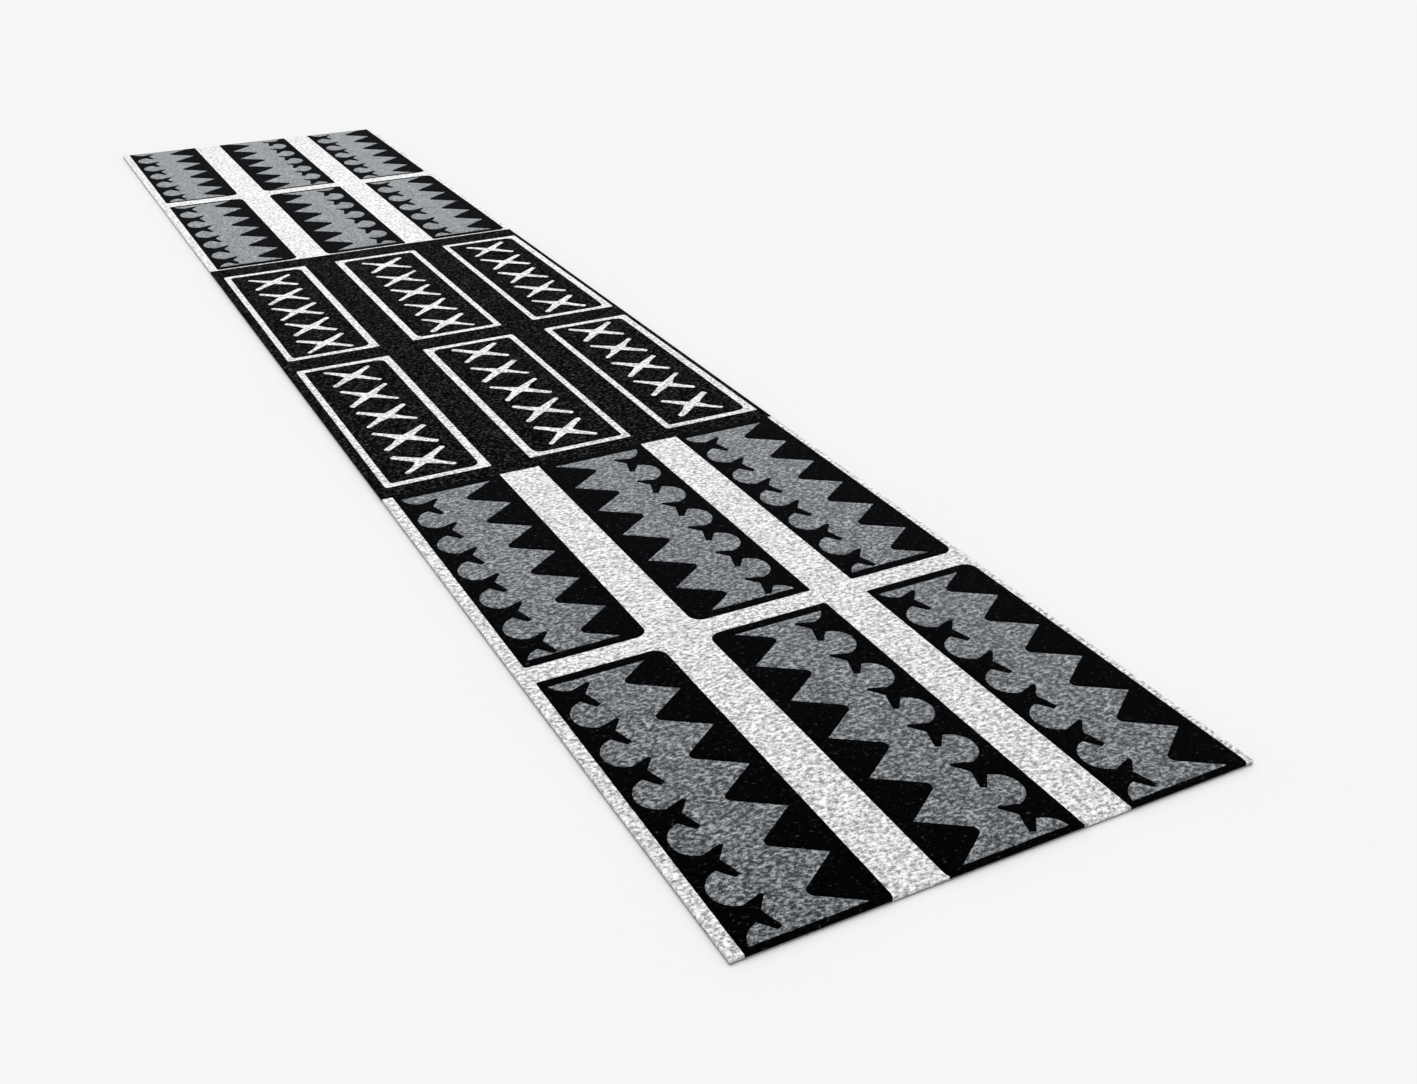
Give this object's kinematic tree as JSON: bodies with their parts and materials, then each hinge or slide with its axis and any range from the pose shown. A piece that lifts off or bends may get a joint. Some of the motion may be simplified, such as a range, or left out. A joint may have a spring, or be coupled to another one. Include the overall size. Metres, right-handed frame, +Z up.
{
  "type": "runner rug",
  "caption": "Long narrow low pile runner rug of joined sections, with inset panels, saw-tooth motifs and white frames. It lies flat and folds at its seams.",
  "frame": {"origin": "middle of the rug, in the plane that it lies on", "axes": "+X across the rug, +Y along it towards the far end, +Z up out of the pile"},
  "size_m": [0.61, 3.05, 0.006],
  "materials": {
    "white_pile": "short heathered pile, matt",
    "grey_pile": "short heathered pile, matt",
    "black_pile": "short pile with sparse blue-grey flecks, matt",
    "charcoal_pile": "short heathered pile, matt",
    "woven_backing": "plain woven tape yarn, dull",
    "felt_backing": "needled felt, matt",
    "seam_tape": "woven tape, dull"
  },
  "bodies": {
    "near_section": {"near_near_left_panel": "black_pile", "near_near_left_motif": "grey_pile", "near_near_centre_panel": "black_pile", "near_near_centre_motif": "grey_pile", "near_near_right_panel": "black_pile", "near_near_right_motif": "grey_pile", "near_far_left_panel": "black_pile", "near_far_left_motif": "grey_pile", "near_far_centre_panel": "black_pile", "near_far_centre_motif": "grey_pile", "near_far_right_panel": "black_pile", "near_far_right_motif": "grey_pile", "near_ground": "white_pile", "near_primary_backing": "woven_backing", "near_felt_backing": "felt_backing"},
    "middle_section": {"middle_near_left_frame": "white_pile", "middle_near_left_field": "charcoal_pile", "middle_near_centre_frame": "white_pile", "middle_near_centre_field": "charcoal_pile", "middle_near_right_frame": "white_pile", "middle_near_right_field": "charcoal_pile", "middle_far_left_frame": "white_pile", "middle_far_left_field": "charcoal_pile", "middle_far_centre_frame": "white_pile", "middle_far_centre_field": "charcoal_pile", "middle_far_right_frame": "white_pile", "middle_far_right_field": "charcoal_pile", "middle_ground": "charcoal_pile", "middle_primary_backing": "woven_backing", "middle_felt_backing": "felt_backing", "near_seam_tape": "seam_tape", "far_seam_tape": "seam_tape"},
    "far_section": {"far_near_left_panel": "black_pile", "far_near_left_motif": "grey_pile", "far_near_centre_panel": "black_pile", "far_near_centre_motif": "grey_pile", "far_near_right_panel": "black_pile", "far_near_right_motif": "grey_pile", "far_far_left_panel": "black_pile", "far_far_left_motif": "grey_pile", "far_far_centre_panel": "black_pile", "far_far_centre_motif": "grey_pile", "far_far_right_panel": "black_pile", "far_far_right_motif": "grey_pile", "far_ground": "white_pile", "far_primary_backing": "woven_backing", "far_felt_backing": "felt_backing"}
  },
  "joints": [
    {"name": "near_fold", "type": "hinge", "parent": "middle_section", "child": "near_section", "pos_m": [0, -0.545, 0.00625], "axis": [-1, 0, 0], "range_deg": [0, 180]},
    {"name": "far_fold", "type": "hinge", "parent": "middle_section", "child": "far_section", "pos_m": [0, 0.541, 0.0095], "axis": [1, 0, 0], "range_deg": [0, 180]}
  ]
}
